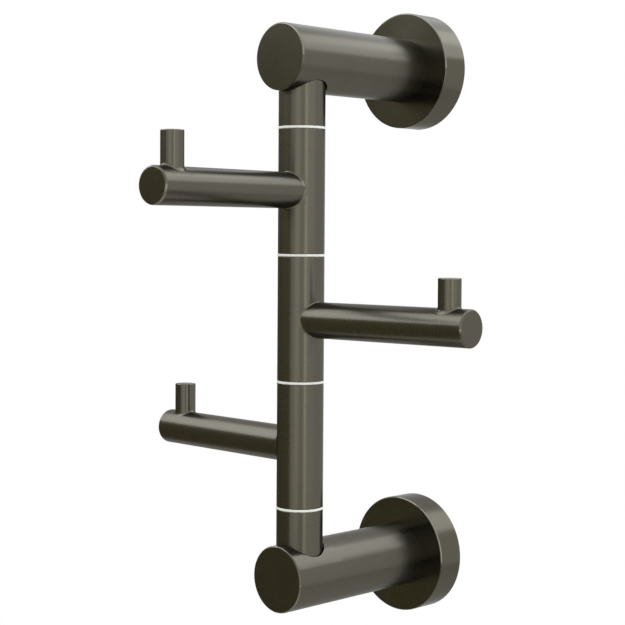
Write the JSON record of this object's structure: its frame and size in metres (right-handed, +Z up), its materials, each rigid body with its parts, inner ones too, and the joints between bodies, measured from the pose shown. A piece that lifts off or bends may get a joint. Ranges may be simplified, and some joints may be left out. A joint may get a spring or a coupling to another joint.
{
  "type": "towel hook rail",
  "caption": "Upright wall rail on round posts and roses, with swivelling hook arms turning about it, each with an upright peg near its tip; brushed graphite metal with white spacer rings.",
  "frame": {"origin": "on the wall plane, midway between the centres of the upper and lower wall plates", "axes": "+Z up along the rail, +Y into the wall, so the object stands in front of the wall at -Y; +X to the right as seen from the room"},
  "size_m": [0.1787, 0.1667, 0.273],
  "materials": {
    "graphite_brushed": "satin brushed, warm graphite PVD",
    "white_nylon": "moulded, satin",
    "zinc_plate": "zinc plated",
    "stainless": "bright, machined",
    "spring_steel": "oiled, dark"
  },
  "bodies": {
    "rail_and_fixings": {"upper_wall_plate": "zinc_plate", "lower_wall_plate": "zinc_plate", "upper_rose": "graphite_brushed", "lower_rose": "graphite_brushed", "upper_post": "graphite_brushed", "lower_post": "graphite_brushed", "upper_end_sleeve": "graphite_brushed", "lower_end_sleeve": "graphite_brushed", "upper_grub_screw": "stainless", "lower_grub_screw": "stainless", "upper_tie_screw": "stainless", "lower_tie_screw": "stainless", "spindle": "stainless", "upper_spindle_screw": "stainless", "lower_spindle_screw": "stainless", "upper_lock_washer": "spring_steel", "lower_lock_washer": "spring_steel", "upper_disc_spring": "spring_steel", "lower_disc_spring": "spring_steel", "top_spacer": "white_nylon", "upper_spacer": "white_nylon", "lower_spacer": "white_nylon", "bottom_spacer": "white_nylon"},
    "upper_hook": {"upper_hook_sleeve": "graphite_brushed", "upper_arm": "graphite_brushed", "upper_peg": "graphite_brushed"},
    "middle_hook": {"middle_hook_sleeve": "graphite_brushed", "middle_arm": "graphite_brushed", "middle_peg": "graphite_brushed"},
    "lower_hook": {"lower_hook_sleeve": "graphite_brushed", "lower_arm": "graphite_brushed", "lower_peg": "graphite_brushed"}
  },
  "joints": [
    {"name": "upper_hook_swing", "type": "hinge", "parent": "rail_and_fixings", "child": "upper_hook", "pos_m": [0, -0.0773, 0.0541], "axis": [0, 0, 1], "range_deg": [-148.3, 137.7]},
    {"name": "middle_hook_swing", "type": "hinge", "parent": "rail_and_fixings", "child": "middle_hook", "pos_m": [0, -0.0773, 0], "axis": [0, 0, 1], "range_deg": [-236.6, 49.4]},
    {"name": "lower_hook_swing", "type": "hinge", "parent": "rail_and_fixings", "child": "lower_hook", "pos_m": [0, -0.0773, -0.0541], "axis": [0, 0, 1], "range_deg": [-51.3, 234.7]}
  ]
}
